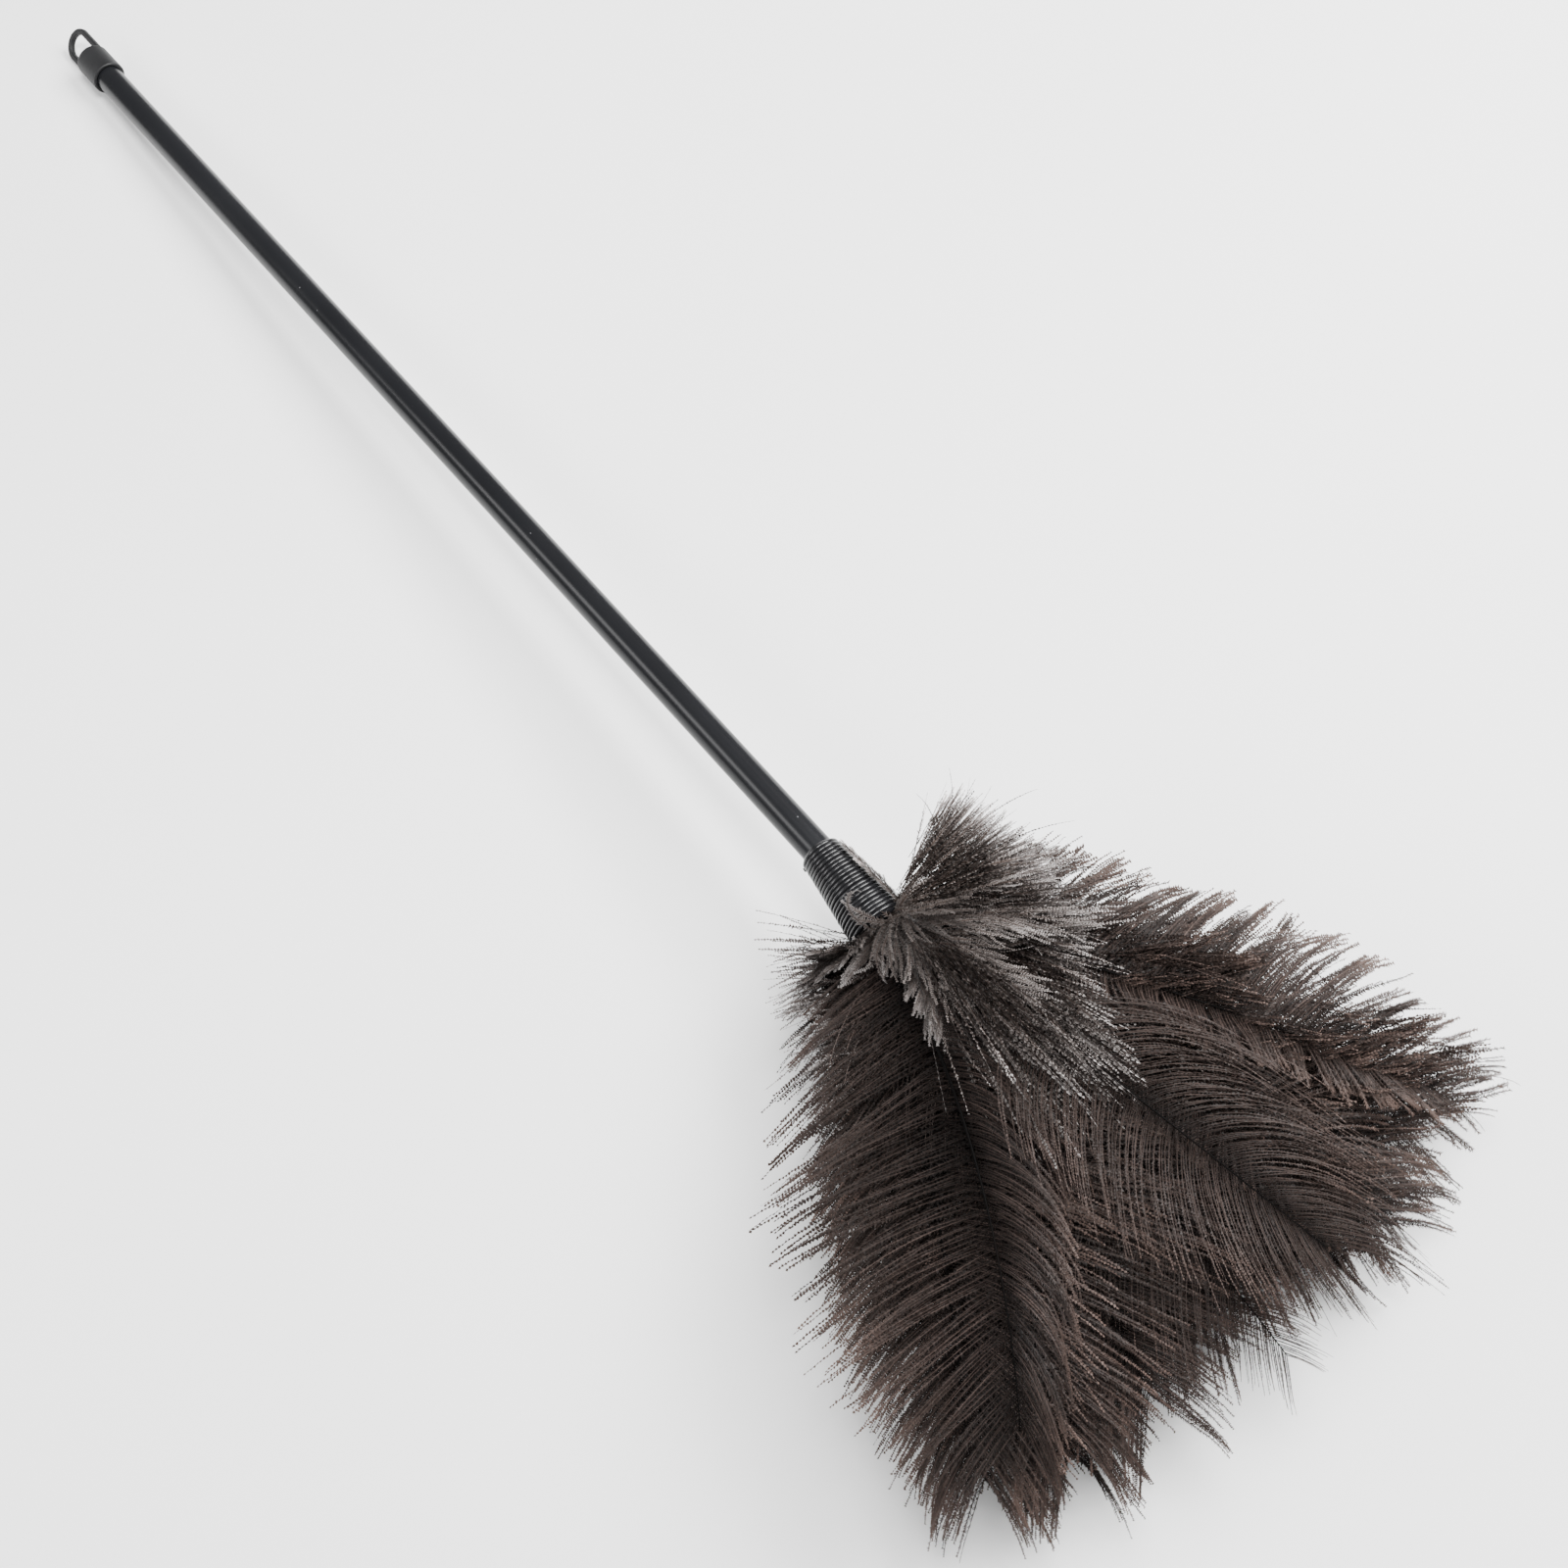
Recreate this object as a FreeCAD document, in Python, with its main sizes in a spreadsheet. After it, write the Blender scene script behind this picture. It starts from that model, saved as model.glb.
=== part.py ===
import FreeCAD, Part

import math
import os

import Sketcher

# Feather duster lying on a flat surface.
# Frame: +Z up, +X from the hanging cap towards the feather head, +Y to the left of the handle.
# The origin is the centre of the bounding box, on the surface that the duster lies on.
# The handle rises slightly towards the head, which rests on its lower plumes.

# Driving dimensions, in millimetres and degrees.
DIMENSIONS = {
    "tube_diameter": 13.0,
    "tube_wall": 0.8,
    "tube_insertion": 15.5,        # length of tube inside the cap
    "tube_exposed": 553.0,         # from the cap's rim to the binding
    "tube_under_binding": 12.0,
    "cap_diameter": 16.3,
    "cap_length": 18.0,
    "cap_edge_radius": 2.0,
    "cap_rim_chamfer": 0.4,
    "loop_height": 20.0,           # from the cap's closed end to the loop's far side
    "loop_strip": 2.9,
    "loop_thickness": 2.8,
    "loop_edge_radius": 0.9,
    "loop_root": 1.5,              # depth of the legs in the cap's end wall
    "plug_clearance": 0.1,
    "plug_length": 30.0,
    "plug_chamfer": 1.0,
    "wire_diameter": 1.8,          # coated wire of the binding
    "binding_turns": 23,
    "binding_taper": 6.3,
    "quill_diameter": 2.0,
    "plume_thickness": 2.4,
    "plume_half_width": 52.0,
    "collar_half_width": 33.0,
    "collar_thickness": 2.0,
    "collar_ring_radius": 9.9,
    "neck_plume_length": 37.0,
    "neck_plume_half_width": 8.5,
    "handle_rise": 3.8,            # slope of the handle
    "head_lean": 3.8,              # lean of the binding and quills towards -Y
    "loop_turn": -44.0,            # turn of the loop's plane about the handle
    "cap_end_x": -404.2,
    "handle_y": -3.3,
    "surface_gap": 1.4,            # lowest rachis line above the surface
}

# Rows of plumes, from the lowest in the quill bundle to the highest: name, height of the row's
# quills above the head's axis, length, slope at the root and at the tip, tilt of the outermost
# vanes, outward bend of the outermost plumes, and the heading of each plume.
PLUME_ROWS = [
    ("under_plume", -6.9, 200.0, -20.0, 0.0, 0.0, 6.0, (-15.0, 1.0, 18.0)),
    ("lower_plume", -4.1, 208.0, -16.0, -2.0, 0.0, 8.0, (-22.0, -14.0, -5.0, 6.0, 16.0, 26.0)),
    ("inner_plume", -1.4, 216.0, -4.0, -11.0, 6.0, 8.0, (-24.0, -17.0, -9.0, -1.0, 9.0, 18.0, 27.0)),
    ("core_plume", 1.4, 220.0, 10.0, -18.0, 14.0, 8.0, (-23.0, -16.0, -8.0, 1.0, 10.0, 18.0, 27.0)),
    ("upper_plume", 4.1, 222.0, 25.0, -23.0, 20.0, 10.0, (-25.0, -18.0, -11.0, 0.0, 12.0, 26.0)),
    ("top_plume", 6.9, 226.0, 38.0, -27.0, 18.0, 20.0, (-16.0, -1.0)),
]
LENGTH_SKEW = 0.0012               # how much longer a plume is for each degree of its heading
BUNDLE_RADIUS = 8.3

# Lengths of the collar plumes, from the one on the +Y side and round over the top.
COLLAR_LENGTHS = (44.0, 48.0, 58.0, 82.0, 108.0, 30.0, 32.0, 32.0,
                  30.0, 32.0, 38.0, 50.0, 56.0, 56.0, 54.0, 46.0)
COLLAR_FULL_WIDTH_FROM = 60.0      # shorter collar plumes are narrower
COLLAR_HEADING = 68.0
COLLAR_LEAN = -14.0                # heading of the collar as a whole
COLLAR_HEADING_BEND = 42.0
COLLAR_RISE = (22.0, 20.0, -6.0)   # root slope at the sides, its gain at the top, and tip slope
COLLAR_FALL = (-30.0, 0.0)         # slope at root and tip of the lowest collar plume
COLLAR_FLATTENING = 0.4            # how far the collar vanes still turn with the ring
NECK_PLUME_AROUND = 40.0           # place of the folded-back plume about the neck

# Outline of a plume along its rachis: fraction of the length, fraction of the half width and
# fraction of the thickness.
OUTLINE = [
    (0.10, 0.28, 1.00),
    (0.27, 0.74, 1.00),
    (0.52, 1.00, 0.90),
    (0.78, 0.90, 0.75),
    (0.93, 0.58, 0.60),
    (1.00, 0.16, 0.45),
]
RACHIS_STEPS = 50
BARE_QUILL = 0.04                  # fraction of the length with no vane
SHORTEST_GRIP = 2.0

doc = FreeCAD.newDocument("feather_duster")
sheet = doc.addObject("Spreadsheet::Sheet", "Dimensions")
for row, (alias, value) in enumerate(DIMENSIONS.items(), start=1):
    sheet.set(f"A{row}", alias.replace("_", " "))
    sheet.set(f"B{row}", str(value))
    sheet.setAlias(f"B{row}", alias)
doc.recompute()


def dim(alias):
    return float(sheet.get(alias))


def origin_plane(body, role):
    return next(plane for plane in body.Origin.OriginFeatures if plane.Role == role)


def add_body(label):
    body = doc.addObject("PartDesign::Body", label)
    body.Label = label
    return body


def add_sketch(body, name, role, offset=None):
    """A sketch on one of the body's own origin planes, raised by a sheet expression."""
    sketch = body.newObject("Sketcher::SketchObject", name)
    sketch.AttachmentSupport = [(origin_plane(body, role), "")]
    sketch.MapMode = "FlatFace"
    if offset:
        sketch.setExpression("AttachmentOffset.Base.z", offset)
    return sketch


def drive(sketch, name, constraint, expression):
    """Adds a named dimension that follows a sheet expression."""
    index = sketch.addConstraint(constraint)
    sketch.renameConstraint(index, name)
    sketch.setExpression(f"Constraints.{name}", expression)


def join(sketch, first, first_end, second, second_end, kind="Coincident"):
    sketch.addConstraint(Sketcher.Constraint(kind, first, first_end, second, second_end))


def add_circle(sketch, name, diameter):
    """A circle about the sketch's origin, with its diameter bound to the sheet."""
    shape = Part.Circle(FreeCAD.Vector(), FreeCAD.Vector(0, 0, 1), 5.0 + sketch.GeometryCount)
    circle = sketch.addGeometry(shape, False)
    join(sketch, circle, 3, -1, 1)
    drive(sketch, name, Sketcher.Constraint("Diameter", circle, 10.0), diameter)


def add_diamond(sketch, half_width, half_depth):
    """A flat diamond about the sketch's origin: the section of a quill or a vane."""
    corners = [FreeCAD.Vector(x, y, 0) for x, y in ((5, 0), (0, 1), (-5, 0), (0, -1))]
    for corner, following in zip(corners, corners[1:] + corners[:1]):
        sketch.addGeometry(Part.LineSegment(corner, following), False)
    for line in range(4):
        join(sketch, line, 2, (line + 1) % 4, 1)
    for line in range(2):
        sketch.addConstraint(Sketcher.Constraint("PointOnObject", line, 1, -1 - line))
        sketch.addConstraint(Sketcher.Constraint("Symmetric", line, 1, line + 2, 1, -1, 1))
    drive(sketch, "half_width", Sketcher.Constraint("DistanceX", -1, 1, 0, 1, 5.0), half_width)
    drive(sketch, "half_depth", Sketcher.Constraint("DistanceY", -1, 1, 1, 1, 1.0), half_depth)


def edges_at_height(shape, height):
    """Names of the shape's closed circular edges at a height along its axis."""
    return [
        f"Edge{number}"
        for number, edge in enumerate(shape.Edges, start=1)
        if len(edge.Vertexes) == 1 and abs(edge.BoundBox.ZMin - height) < 0.01
        and abs(edge.BoundBox.ZMax - height) < 0.01
    ]


# Placements. The handle's own axis is local +Z, from the cap's closed end towards the head.
rise = math.radians(dim("handle_rise"))
lean = math.radians(dim("head_lean"))
handle_direction = FreeCAD.Vector(math.cos(rise), 0, math.sin(rise))
head_direction = FreeCAD.Vector(math.cos(rise) * math.cos(lean), -math.sin(lean), math.sin(rise))
head_direction.normalize()
cap_end = FreeCAD.Vector(dim("cap_end_x"), dim("handle_y"), dim("cap_diameter") / 2)
binding_start = cap_end + handle_direction * (dim("cap_length") + dim("tube_exposed"))
binding_taper = math.radians(dim("binding_taper"))
binding_length = dim("binding_turns") * dim("wire_diameter") * math.cos(binding_taper)
binding_end = binding_start + head_direction * binding_length


def along(start, direction, turn=0.0):
    """A placement whose local +Z points along a direction, turned about it by an angle."""
    left = FreeCAD.Vector(0, 0, 1).cross(direction)
    rotation = FreeCAD.Rotation(FreeCAD.Vector(), left, direction, "ZYX")
    return FreeCAD.Placement(start, rotation * FreeCAD.Rotation(FreeCAD.Vector(0, 0, 1), turn))


def make_handle_tube():
    """Thin painted steel tube."""
    body = add_body("handle_tube")
    sketch = add_sketch(body, "TubeSection", "XY_Plane")
    add_circle(sketch, "outside", "Dimensions.tube_diameter")
    add_circle(sketch, "inside", "Dimensions.tube_diameter - 2 * Dimensions.tube_wall")
    pad = body.newObject("PartDesign::Pad", "TubeLength")
    pad.Profile = sketch
    pad.setExpression(
        "Length",
        "Dimensions.tube_insertion + Dimensions.tube_exposed + Dimensions.tube_under_binding",
    )
    start = cap_end + handle_direction * (dim("cap_length") - dim("tube_insertion"))
    body.Placement = along(start, handle_direction)
    return body


def make_tube_plug():
    """Wooden plug that closes the tube's end under the binding."""
    body = add_body("tube_plug")
    sketch = add_sketch(body, "PlugSection", "XY_Plane")
    add_circle(
        sketch,
        "outside",
        "Dimensions.tube_diameter - 2 * Dimensions.tube_wall - 2 * Dimensions.plug_clearance",
    )
    pad = body.newObject("PartDesign::Pad", "PlugLength")
    pad.Profile = sketch
    pad.setExpression("Length", "Dimensions.plug_length")
    doc.recompute()
    chamfer = body.newObject("PartDesign::Chamfer", "PlugChamfer")
    chamfer.Base = (pad, edges_at_height(pad.Shape, 0.0))
    chamfer.setExpression("Size", "Dimensions.plug_chamfer")
    inside = dim("plug_length") - dim("tube_under_binding")
    body.Placement = along(binding_start - handle_direction * inside, handle_direction)
    return body


def add_loop_outline(sketch):
    """Upright arch with parallel legs: a round outer and inner end, and two legs."""
    outer = dim("cap_diameter") / 2
    inner = outer - dim("loop_strip")
    centre = FreeCAD.Vector(0, outer - dim("loop_height"), 0)
    top = dim("loop_root")
    normal = FreeCAD.Vector(0, 0, 1)

    def arc(radius):
        circle = Part.Circle(centre, normal, radius)
        return sketch.addGeometry(Part.ArcOfCircle(circle, math.pi, 2 * math.pi), False)

    def line(x1, y1, x2, y2):
        ends = FreeCAD.Vector(x1, y1, 0), FreeCAD.Vector(x2, y2, 0)
        return sketch.addGeometry(Part.LineSegment(*ends), False)

    outer_arc = arc(outer)
    inner_arc = arc(inner)
    legs = {}
    for side in (-1, 1):
        legs[side, "outer"] = line(side * outer, centre.y, side * outer, top)
        legs[side, "inner"] = line(side * inner, centre.y, side * inner, top)
        root = line(side * outer, top, side * inner, top)
        arc_end = 1 if side < 0 else 2
        join(sketch, legs[side, "outer"], 1, outer_arc, arc_end, "Tangent")
        join(sketch, legs[side, "inner"], 1, inner_arc, arc_end, "Tangent")
        join(sketch, legs[side, "outer"], 2, root, 1)
        join(sketch, legs[side, "inner"], 2, root, 2)
        sketch.addConstraint(Sketcher.Constraint("Horizontal", root))
    join(sketch, inner_arc, 3, outer_arc, 3)
    sketch.addConstraint(Sketcher.Constraint("Vertical", legs[-1, "outer"]))
    sketch.addConstraint(Sketcher.Constraint("PointOnObject", outer_arc, 3, -2))
    drive(sketch, "outer_radius", Sketcher.Constraint("Radius", outer_arc, outer),
          "Dimensions.cap_diameter / 2")
    drive(sketch, "inner_radius", Sketcher.Constraint("Radius", inner_arc, inner),
          "Dimensions.cap_diameter / 2 - Dimensions.loop_strip")
    drive(sketch, "leg_length", Sketcher.Constraint("DistanceY", outer_arc, 3, -1, 1, -centre.y),
          "Dimensions.loop_height - Dimensions.cap_diameter / 2")
    for side, name in ((-1, "left_root"), (1, "right_root")):
        root_depth = Sketcher.Constraint("DistanceY", -1, 1, legs[side, "outer"], 2, top)
        drive(sketch, name, root_depth, "Dimensions.loop_root")


def add_cup_outline(sketch):
    """Half section of the solid cup, with its closed end rounded."""
    outer = dim("cap_diameter") / 2
    top = dim("cap_length")
    corner = dim("cap_edge_radius")
    centre = FreeCAD.Vector(outer - corner, corner, 0)
    circle = Part.Circle(centre, FreeCAD.Vector(0, 0, 1), corner)
    points = [(0, 0), (centre.x, 0), (outer, corner), (outer, top), (0, top)]
    points = [FreeCAD.Vector(x, y, 0) for x, y in points]
    end_wall = sketch.addGeometry(Part.LineSegment(points[0], points[1]), False)
    side = sketch.addGeometry(Part.LineSegment(points[2], points[3]), False)
    rim = sketch.addGeometry(Part.LineSegment(points[3], points[4]), False)
    axis = sketch.addGeometry(Part.LineSegment(points[4], points[0]), False)
    edge = sketch.addGeometry(Part.ArcOfCircle(circle, 1.5 * math.pi, 2 * math.pi), False)
    join(sketch, end_wall, 2, edge, 1, "Tangent")
    join(sketch, edge, 2, side, 1, "Tangent")
    join(sketch, side, 2, rim, 1)
    join(sketch, rim, 2, axis, 1)
    join(sketch, axis, 2, end_wall, 1)
    join(sketch, end_wall, 1, -1, 1)
    sketch.addConstraint(Sketcher.Constraint("Vertical", axis))
    sketch.addConstraint(Sketcher.Constraint("Vertical", side))
    sketch.addConstraint(Sketcher.Constraint("Horizontal", rim))
    drive(sketch, "outer_radius", Sketcher.Constraint("DistanceX", -1, 1, side, 2, outer),
          "Dimensions.cap_diameter / 2")
    drive(sketch, "length", Sketcher.Constraint("DistanceY", -1, 1, side, 2, top),
          "Dimensions.cap_length")
    drive(sketch, "edge_radius", Sketcher.Constraint("Radius", edge, corner),
          "Dimensions.cap_edge_radius")


def make_hanging_cap():
    """Moulded cap with a blind socket for the tube and a loop to hang the duster by."""
    body = add_body("hanging_cap")
    loop_sketch = add_sketch(body, "LoopOutline", "XZ_Plane")
    add_loop_outline(loop_sketch)
    loop = body.newObject("PartDesign::Pad", "LoopPad")
    loop.Profile = loop_sketch
    loop.SideType = "Symmetric"
    loop.setExpression("Length", "Dimensions.loop_thickness")
    doc.recompute()
    rounded = body.newObject("PartDesign::Fillet", "LoopFillet")
    lengthwise = [
        f"Edge{number}"
        for number, edge in enumerate(loop.Shape.Edges, start=1)
        if edge.BoundBox.YLength < 0.01 and edge.BoundBox.ZLength > 0.01
    ]
    rounded.Base = (loop, lengthwise)
    rounded.setExpression("Radius", "Dimensions.loop_edge_radius")
    cup_sketch = add_sketch(body, "CupSection", "XZ_Plane")
    add_cup_outline(cup_sketch)
    cup = body.newObject("PartDesign::Revolution", "CupTurn")
    cup.Profile = cup_sketch
    cup.ReferenceAxis = (cup_sketch, ["V_Axis"])
    cup.Angle = 360.0
    doc.recompute()
    solid_volume = cup.Shape.Volume
    socket_sketch = add_sketch(body, "SocketSection", "XY_Plane", "Dimensions.cap_length")
    add_circle(socket_sketch, "bore", "Dimensions.tube_diameter")
    socket = body.newObject("PartDesign::Pocket", "Socket")
    socket.Profile = socket_sketch
    socket.setExpression("Length", "Dimensions.tube_insertion")
    doc.recompute()
    bore_volume = math.pi * (dim("tube_diameter") / 2) ** 2 * dim("tube_insertion")
    if abs(solid_volume - socket.Shape.Volume - bore_volume) > 0.01 * bore_volume:
        raise ValueError("the cap's socket has the wrong depth or direction")
    rim = body.newObject("PartDesign::Chamfer", "RimChamfer")
    rim.Base = (socket, edges_at_height(socket.Shape, dim("cap_length")))
    rim.setExpression("Size", "Dimensions.cap_rim_chamfer")
    body.Placement = along(cap_end, handle_direction, dim("loop_turn"))
    return body


def make_outer_binding():
    """Coated wire wound side by side over the quills, as one ribbed, tapering sleeve."""
    body = add_body("outer_binding")
    sketch = add_sketch(body, "BindingSection", "XZ_Plane")
    wire_radius = dim("wire_diameter") / 2
    turns = round(dim("binding_turns"))
    # The turns' centres lie on a line that leaves the tube's surface at the taper angle.
    slope = FreeCAD.Vector(math.sin(binding_taper), math.cos(binding_taper), 0)
    outward = FreeCAD.Vector(math.cos(binding_taper), -math.sin(binding_taper), 0)
    inner_start = FreeCAD.Vector(dim("tube_diameter") / 2, 0, 0)
    pitch = slope * dim("wire_diameter")
    valleys = [inner_start + outward * wire_radius + pitch * number for number in range(turns + 1)]
    for number, (low, high) in enumerate(zip(valleys, valleys[1:])):
        crest = (low + high) * 0.5 + outward * wire_radius
        turn = sketch.addGeometry(Part.Arc(low, crest, high), False)
        if number:
            join(sketch, turn - 1, 2, turn, 1)
        radius = Sketcher.Constraint("Radius", turn, wire_radius)
        drive(sketch, f"turn_{number + 1}", radius, "Dimensions.wire_diameter / 2")
    inner_end = inner_start + pitch * turns
    for start, end in ((valleys[0], inner_start), (inner_start, inner_end), (inner_end, valleys[-1])):
        sketch.addGeometry(Part.LineSegment(start, end), False)
    revolution = body.newObject("PartDesign::Revolution", "BindingTurns")
    revolution.Profile = sketch
    revolution.ReferenceAxis = (sketch, ["V_Axis"])
    revolution.Angle = 360.0
    body.Placement = along(binding_start, head_direction)
    return body


def rachis_line(root, length, headings, slopes):
    """Points and directions of a curved rachis that settles on the surface.

    headings and slopes are the values at the root and at the tip, in degrees.
    """
    lowest = dim("surface_gap")
    point = FreeCAD.Vector(root)
    line = []
    for step in range(RACHIS_STEPS + 1):
        fraction = step / RACHIS_STEPS
        heading = math.radians(headings[0] + (headings[1] - headings[0]) * fraction)
        slope = math.radians(slopes[0] + (slopes[1] - slopes[0]) * fraction)
        if point.z <= lowest:
            slope = max(slope, 0.0)
        direction = FreeCAD.Vector(
            math.cos(slope) * math.cos(heading), math.cos(slope) * math.sin(heading), math.sin(slope)
        )
        line.append((FreeCAD.Vector(point), direction))
        point = point + direction * (length / RACHIS_STEPS)
        point.z = max(point.z, lowest)
    return line


def quill_grip(root):
    """Length of quill that the tapering binding has room for outside the tube."""
    spread = (root - binding_end).cross(head_direction).Length + dim("quill_diameter") / 2
    room = (spread - dim("tube_diameter") / 2) / math.tan(binding_taper)
    return max(binding_length - max(room, dim("tube_under_binding")), SHORTEST_GRIP)


def make_feather(label, line, face, width_name, thickness_name, grip=0.0, spread=1.0):
    """One feather: its quill in the binding and its vane, lofted through flat sections.

    face is the way that the vane looks, as an angle about +X from +Y. width_name and
    thickness_name are the sheet's aliases of its half width and thickness, grip is the length
    of its quill inside the binding, and spread is the part of the half width that it has.
    """
    sideways = FreeCAD.Vector(0, math.sin(face), -math.cos(face))
    sections = []

    def add_section(point, direction, half_width, half_depth):
        across = sideways - direction * sideways.dot(direction)
        facing = direction.cross(across)
        section = doc.addObject("Sketcher::SketchObject", f"{label}_section{len(sections)}")
        add_diamond(section, half_width, half_depth)
        section.Placement = FreeCAD.Placement(
            point - binding_end, FreeCAD.Rotation(across, facing, direction, "ZXY")
        )
        sections.append(section)

    radius = "Dimensions.quill_diameter / 2"
    root = line[0][0]
    if grip:
        add_section(root - head_direction * grip, head_direction, radius, radius)
        add_section(root, head_direction, radius, radius)
    add_section(*line[round(BARE_QUILL * RACHIS_STEPS)], radius, radius)
    for fraction, width, depth in OUTLINE:
        point, direction = line[round(fraction * RACHIS_STEPS)]
        add_section(
            point,
            direction,
            f"Dimensions.{width_name} * {width * spread:.3f}",
            f"Dimensions.{thickness_name} / 2 * {depth}",
        )
    feather = doc.addObject("Part::Loft", label)
    feather.Label = label
    feather.Sections = sections
    feather.Solid = True
    feather.Ruled = True
    feather.Placement = FreeCAD.Placement(binding_end, FreeCAD.Rotation())
    return feather


def make_plume_rows():
    """Long plumes in rows across the quill bundle, fanned out from side to side."""
    plumes = []
    for name, height, row_length, root_slope, tip_slope, tilt, bend, headings in PLUME_ROWS:
        reach = math.sqrt(BUNDLE_RADIUS**2 - height**2)
        for number, heading in enumerate(headings):
            share = 2 * number / (len(headings) - 1) - 1
            root = binding_end + FreeCAD.Vector(0, share * reach, height)
            length = row_length * (1 + LENGTH_SKEW * heading)
            ends = (heading, heading + bend * share)
            line = rachis_line(root, length, ends, (root_slope, tip_slope))
            face = math.radians(90 - tilt * share)
            plumes.append(
                make_feather(f"{name}_{number + 1}", line, face,
                             "plume_half_width", "plume_thickness", quill_grip(root))
            )
    return plumes


def make_collar():
    """Short downy plumes in a ring round the neck, over the roots of the long ones."""
    plumes = []
    for number, length in enumerate(COLLAR_LENGTHS):
        around = 2 * math.pi * number / len(COLLAR_LENGTHS)
        outward = FreeCAD.Vector(0, math.cos(around), math.sin(around))
        root = binding_end + outward * dim("collar_ring_radius")
        heading = COLLAR_HEADING * outward.y + COLLAR_LEAN
        headings = (heading, heading + COLLAR_HEADING_BEND * outward.y)
        if outward.z >= 0:
            slopes = (COLLAR_RISE[0] + COLLAR_RISE[1] * outward.z, COLLAR_RISE[2])
        else:
            slopes = [-outward.z * limit for limit in COLLAR_FALL]
        line = rachis_line(root, length, headings, slopes)
        pole = (0.5 if outward.z >= 0 else 1.5) * math.pi
        face = pole + COLLAR_FLATTENING * (around - pole)
        spread = min(length / COLLAR_FULL_WIDTH_FROM, 1.0)
        plumes.append(
            make_feather(f"collar_plume_{number + 1}", line, face,
                         "collar_half_width", "collar_thickness", quill_grip(root), spread)
        )
    return plumes


def make_neck_plume():
    """Small downy plume that is folded back and lies along the outside of the binding."""
    around = math.radians(NECK_PLUME_AROUND)
    taper = math.tan(binding_taper)
    outward = FreeCAD.Vector(0, math.cos(around), math.sin(around))
    wide_end = dim("tube_diameter") / 2 + dim("wire_diameter") + binding_length * taper
    root = binding_end + outward * (wide_end + dim("collar_thickness"))
    backward = (head_direction + outward * taper) * -1
    backward.normalize()
    step = dim("neck_plume_length") / RACHIS_STEPS
    line = [(root + backward * (step * number), backward) for number in range(RACHIS_STEPS + 1)]
    return make_feather("neck_plume", line, around, "neck_plume_half_width", "collar_thickness")


pieces = [make_handle_tube(), make_tube_plug(), make_hanging_cap(), make_outer_binding()]
pieces += make_plume_rows()
pieces += make_collar()
pieces.append(make_neck_plume())
doc.recompute()

for item in doc.Objects:
    if "Invalid" in item.State or "Error" in item.State:
        raise ValueError(f"{item.Label} failed: {item.State}")
for piece in pieces:
    if piece.Shape.isNull() or not piece.Shape.isValid():
        raise ValueError(f"{piece.Label} has no valid shape")

os.makedirs("parts", exist_ok=True)
for piece in pieces:
    piece.Shape.exportStep(f"parts/{piece.Label}.step")
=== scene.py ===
import math

import bpy
import numpy as np
from mathutils import Euler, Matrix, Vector


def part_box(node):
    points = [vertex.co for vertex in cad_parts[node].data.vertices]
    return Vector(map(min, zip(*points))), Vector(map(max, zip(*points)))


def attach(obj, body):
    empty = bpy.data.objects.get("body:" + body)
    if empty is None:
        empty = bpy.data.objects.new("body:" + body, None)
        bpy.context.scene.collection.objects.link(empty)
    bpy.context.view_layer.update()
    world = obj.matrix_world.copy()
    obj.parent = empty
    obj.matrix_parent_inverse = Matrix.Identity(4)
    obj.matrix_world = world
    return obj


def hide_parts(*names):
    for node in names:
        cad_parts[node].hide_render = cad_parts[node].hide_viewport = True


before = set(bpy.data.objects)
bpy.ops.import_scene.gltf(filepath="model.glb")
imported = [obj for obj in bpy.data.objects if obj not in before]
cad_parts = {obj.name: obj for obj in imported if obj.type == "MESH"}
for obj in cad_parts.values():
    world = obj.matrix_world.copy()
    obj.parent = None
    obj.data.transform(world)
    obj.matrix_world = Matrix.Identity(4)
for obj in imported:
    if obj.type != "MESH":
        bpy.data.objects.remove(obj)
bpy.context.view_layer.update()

# Feather duster lying on a flat surface. Metres and radians; +Z up, +X from the hanging cap
# towards the feather head. The driving dimensions of the CAD part come first.
TUBE_RADIUS = 0.0065
TUBE_UNDER_BINDING = 0.012
WIRE_RADIUS = 0.0009
BINDING_TURNS = 23
BINDING_TAPER = math.radians(6.3)
QUILL_RADIUS = 0.001
HANDLE_RISE = math.radians(3.8)
HEAD_LEAN = math.radians(3.8)
SURFACE_GAP = 0.0014
SHORTEST_GRIP = 0.002

PLUME_HALF_WIDTH = 0.052
COLLAR_HALF_WIDTH = 0.033
COLLAR_RING_RADIUS = 0.0099
NECK_PLUME_LENGTH = 0.037

# Rows of plumes: name, height above the head's axis, length, slope at root and tip, tilt of
# the outermost vanes, outward bend of the outermost plumes, and headings. Millimetres, degrees.
PLUME_ROWS = [
    ("under_plume", -6.9, 200.0, -20.0, 0.0, 0.0, 6.0, (-15.0, 1.0, 18.0)),
    ("lower_plume", -4.1, 208.0, -16.0, -2.0, 0.0, 8.0, (-22.0, -14.0, -5.0, 6.0, 16.0, 26.0)),
    ("inner_plume", -1.4, 216.0, -4.0, -11.0, 6.0, 8.0, (-24.0, -17.0, -9.0, -1.0, 9.0, 18.0, 27.0)),
    ("core_plume", 1.4, 220.0, 10.0, -18.0, 14.0, 8.0, (-23.0, -16.0, -8.0, 1.0, 10.0, 18.0, 27.0)),
    ("upper_plume", 4.1, 222.0, 25.0, -23.0, 20.0, 10.0, (-25.0, -18.0, -11.0, 0.0, 12.0, 26.0)),
    ("top_plume", 6.9, 226.0, 38.0, -27.0, 18.0, 20.0, (-16.0, -1.0)),
]
LENGTH_SKEW = 0.0012
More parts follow.
